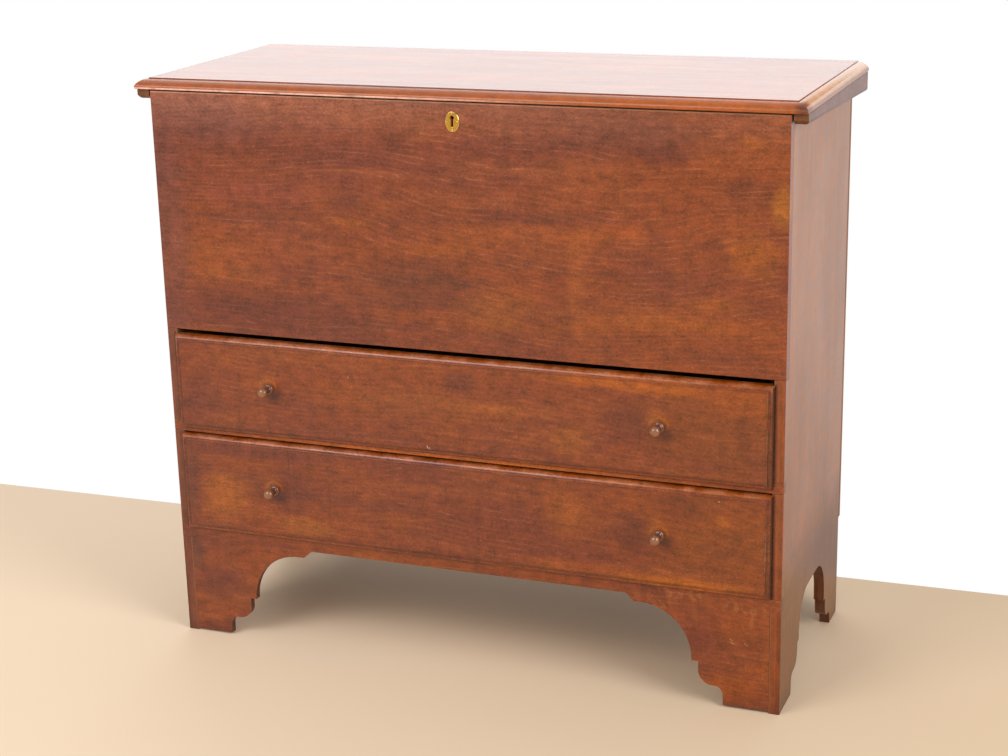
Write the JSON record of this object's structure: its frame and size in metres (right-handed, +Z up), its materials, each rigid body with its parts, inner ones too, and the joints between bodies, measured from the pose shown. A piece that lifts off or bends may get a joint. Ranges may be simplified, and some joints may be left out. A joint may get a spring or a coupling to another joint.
{
  "type": "mule chest",
  "caption": "Antique wooden mule chest: a lift-lid compartment over lipped drawers, on shaped bracket feet, with turned knobs and a brass keyhole escutcheon.",
  "frame": {"origin": "on the floor under the middle of the whole chest's bounding box", "axes": "+X to the viewer's right along the chest's length, the front faces -Y, +Z up"},
  "size_m": [1.101, 0.4814, 0.961],
  "materials": {
    "finished_wood": "old glossy red-brown shellac",
    "raw_wood": "unfinished, darkened with age",
    "iron": "dark, lightly rusted",
    "brass": "worn, aged brass"
  },
  "bodies": {
    "case": {"side_board_left": "finished_wood", "side_board_right": "finished_wood", "front_panel": "finished_wood", "divider_rail": "finished_wood", "apron": "finished_wood", "bottom_rail": "raw_wood", "well_bottom": "raw_wood", "back_board_lower": "raw_wood", "back_board_upper": "raw_wood", "back_nails": "iron", "runners_upper": "raw_wood", "runners_lower": "raw_wood", "runner_nails": "iron", "corner_blocks": "raw_wood", "escutcheon": "brass", "escutcheon_pins": "brass", "lock_case": "iron", "lock_screws": "iron", "hinge_case_leaves": "iron", "hinge_case_screws": "iron", "hinge_pins": "iron"},
    "lid": {"lid_board": "finished_wood", "cleat_left": "finished_wood", "cleat_right": "finished_wood", "cleat_nails": "iron", "hinge_lid_leaves": "iron", "hinge_lid_screws": "iron", "strike_plate": "iron", "strike_screws": "iron"},
    "upper_drawer": {"upper_drawer_front": "finished_wood", "upper_drawer_side_left": "raw_wood", "upper_drawer_side_right": "raw_wood", "upper_drawer_back": "raw_wood", "upper_drawer_bottom": "raw_wood", "upper_drawer_nails": "iron", "upper_drawer_knob_left": "finished_wood", "upper_drawer_knob_right": "finished_wood"},
    "lower_drawer": {"lower_drawer_front": "finished_wood", "lower_drawer_side_left": "raw_wood", "lower_drawer_side_right": "raw_wood", "lower_drawer_back": "raw_wood", "lower_drawer_bottom": "raw_wood", "lower_drawer_nails": "iron", "lower_drawer_knob_left": "finished_wood", "lower_drawer_knob_right": "finished_wood"},
    "bolt": {"lock_bolt": "iron"}
  },
  "joints": [
    {"name": "lid_hinge", "type": "hinge", "parent": "case", "child": "lid", "pos_m": [0, 0.2372, 0.945], "axis": [-1, 0, 0], "range_deg": [0, 100]},
    {"name": "upper_drawer_slide", "type": "slide", "parent": "case", "child": "upper_drawer", "axis": [0, -1, 0], "range_m": [0, 0.32]},
    {"name": "lower_drawer_slide", "type": "slide", "parent": "case", "child": "lower_drawer", "axis": [0, -1, 0], "range_m": [0, 0.32]},
    {"name": "bolt_slide", "type": "slide", "parent": "case", "child": "bolt", "axis": [0, 0, 1], "range_m": [0, 0.012]}
  ]
}
